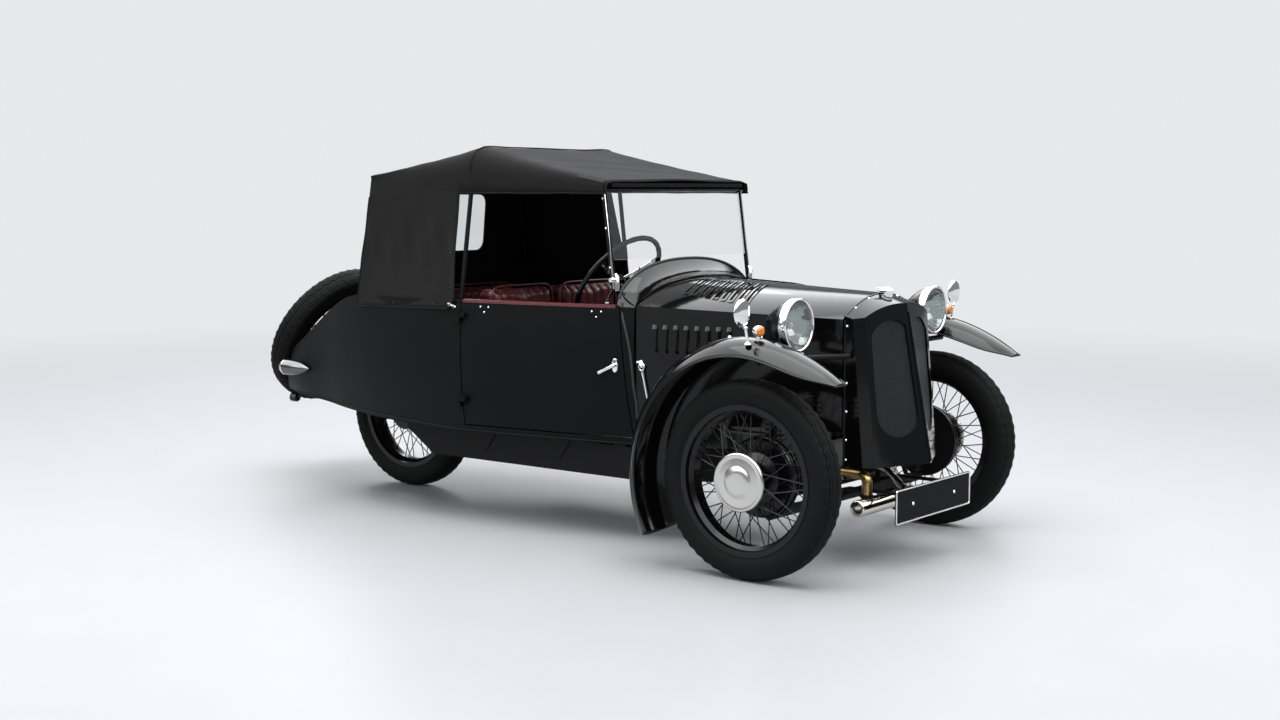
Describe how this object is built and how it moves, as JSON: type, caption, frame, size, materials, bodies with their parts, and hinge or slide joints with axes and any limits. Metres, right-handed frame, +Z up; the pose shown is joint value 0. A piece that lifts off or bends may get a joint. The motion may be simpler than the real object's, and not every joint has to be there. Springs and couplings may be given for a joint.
{
  "type": "three wheeled touring car",
  "caption": "Vintage three wheeled touring car with two front wheels, one driven rear wheel, a folding fabric hood, hinged doors and bonnet, and a spare on the tail.",
  "frame": {"origin": "ground point under the middle of the whole car's outline", "axes": "+X towards the car's left side, +Y towards its tail, +Z up; the front faces -Y"},
  "size_m": [1.56, 3.3196, 1.486],
  "materials": {
    "amber": "amber lens",
    "black_enamel": "stoved black enamel",
    "body_gloss": "deep gloss black",
    "cast_metal": "painted casting",
    "chassis_black": "satin black",
    "chrome": "bright plate",
    "clear_glass": "clear",
    "dash_wood": "varnished",
    "hood_fabric": "black proofed cloth",
    "maroon_leather": "pleated hide",
    "mesh_steel": "woven mesh, dark",
    "plate_black": "gloss black, bare",
    "polished_alloy": "polished",
    "stained_steel": "heat stained plate",
    "tyre_rubber": "matt black rubber"
  },
  "bodies": {
    "car": {"body_tub": "body_gloss", "bonnet_hinge": "chrome", "bonnet_side_left": "body_gloss", "bonnet_side_right": "body_gloss", "chassis": "chassis_black", "dashboard": "dash_wood", "engine": "cast_metal", "exhaust": "stained_steel", "front_cross_frame": "chassis_black", "front_springs": "chassis_black", "grille": "mesh_steel", "headlamp_left": "body_gloss", "headlamp_lenses": "clear_glass", "headlamp_right": "body_gloss", "hood": "hood_fabric", "hood_bows": "chassis_black", "indicators": "amber", "lamp_bars": "chassis_black", "mirrors": "chrome", "nose_cowl": "body_gloss", "number_plate": "plate_black", "plate_bracket": "chassis_black", "radiator": "chassis_black", "radiator_cap": "chrome", "rear_backrest": "maroon_leather", "rear_fork": "chassis_black", "rear_seat": "maroon_leather", "scuttle": "body_gloss", "seat_back_left": "maroon_leather", "seat_back_right": "maroon_leather", "seat_cushion_left": "maroon_leather", "seat_cushion_right": "maroon_leather", "spare_carrier": "chassis_black", "steering_column": "chassis_black", "tail_lamps": "chrome", "transmission": "chassis_black", "tyre_spare": "tyre_rubber", "wheel_spare": "black_enamel", "windscreen_frame": "chrome", "windscreen_glass": "clear_glass", "wing_left": "body_gloss", "wing_right": "body_gloss", "wing_stays": "chassis_black"},
    "wheel_assembly_front_right": {"hub_cap_front_right": "polished_alloy", "tyre_front_right": "tyre_rubber", "wheel_front_right": "black_enamel"},
    "wheel_assembly_front_left": {"hub_cap_front_left": "polished_alloy", "tyre_front_left": "tyre_rubber", "wheel_front_left": "black_enamel"},
    "wheel_assembly_rear": {"tyre_rear": "tyre_rubber", "wheel_rear": "black_enamel"},
    "knuckle_right": {"knuckle_right": "chassis_black"},
    "knuckle_left": {"knuckle_left": "chassis_black"},
    "track_rod": {"track_rod": "chassis_black"},
    "steering_wheel": {"steering_wheel": "chassis_black"},
    "door_right": {"door_right": "body_gloss"},
    "door_left": {"door_left": "body_gloss"},
    "bonnet_top_right": {"bonnet_top_right": "body_gloss"},
    "bonnet_top_left": {"bonnet_top_left": "body_gloss"}
  },
  "joints": [
    {"name": "steer_right", "type": "hinge", "parent": "car", "child": "knuckle_right", "pos_m": [-0.5, -1.305, 0.343], "axis": [0, 0, 1], "range_deg": [-28, 28]},
    {"name": "steer_left", "type": "hinge", "parent": "car", "child": "knuckle_left", "pos_m": [0.5, -1.305, 0.343], "axis": [0, 0, 1], "range_deg": [-28, 28]},
    {"name": "track_rod_pivot", "type": "hinge", "parent": "knuckle_right", "child": "track_rod", "pos_m": [-0.5, -1.175, 0.236], "axis": [0, 0, 1], "range_deg": [-28, 28]},
    {"name": "steering_column_turn", "type": "hinge", "parent": "car", "child": "steering_wheel", "pos_m": [-0.208, -0.387, 0.966], "axis": [0, 0.8161, 0.5779], "range_deg": [-196, 196]},
    {"name": "roll_front_right", "type": "hinge", "parent": "knuckle_right", "child": "wheel_assembly_front_right", "pos_m": [-0.635, -1.305, 0.343], "axis": [1, 0, 0], "continuous": true},
    {"name": "roll_front_left", "type": "hinge", "parent": "knuckle_left", "child": "wheel_assembly_front_left", "pos_m": [0.635, -1.305, 0.343], "axis": [1, 0, 0], "continuous": true},
    {"name": "roll_rear", "type": "hinge", "parent": "car", "child": "wheel_assembly_rear", "pos_m": [0, 0.956, 0.343], "axis": [1, 0, 0], "continuous": true},
    {"name": "door_right_hinge", "type": "hinge", "parent": "car", "child": "door_right", "pos_m": [-0.562, 0.125, 0.64], "axis": [0, 0, -1], "range_deg": [0, 65]},
    {"name": "door_left_hinge", "type": "hinge", "parent": "car", "child": "door_left", "pos_m": [0.562, 0.125, 0.64], "axis": [0, 0, 1], "range_deg": [0, 65]},
    {"name": "bonnet_right_lift", "type": "hinge", "parent": "car", "child": "bonnet_top_right", "pos_m": [0, -1.423, 0.949], "axis": [0, 0.999, 0.0456], "range_deg": [0, 70]},
    {"name": "bonnet_left_lift", "type": "hinge", "parent": "car", "child": "bonnet_top_left", "pos_m": [0, -1.423, 0.949], "axis": [0, -0.999, -0.0456], "range_deg": [0, 70]}
  ],
  "couplings": [
    {"joint": "steer_left", "follows": "steer_right", "ratio": 1},
    {"joint": "track_rod_pivot", "follows": "steer_right", "ratio": -1},
    {"joint": "steering_column_turn", "follows": "steer_right", "ratio": 7}
  ]
}
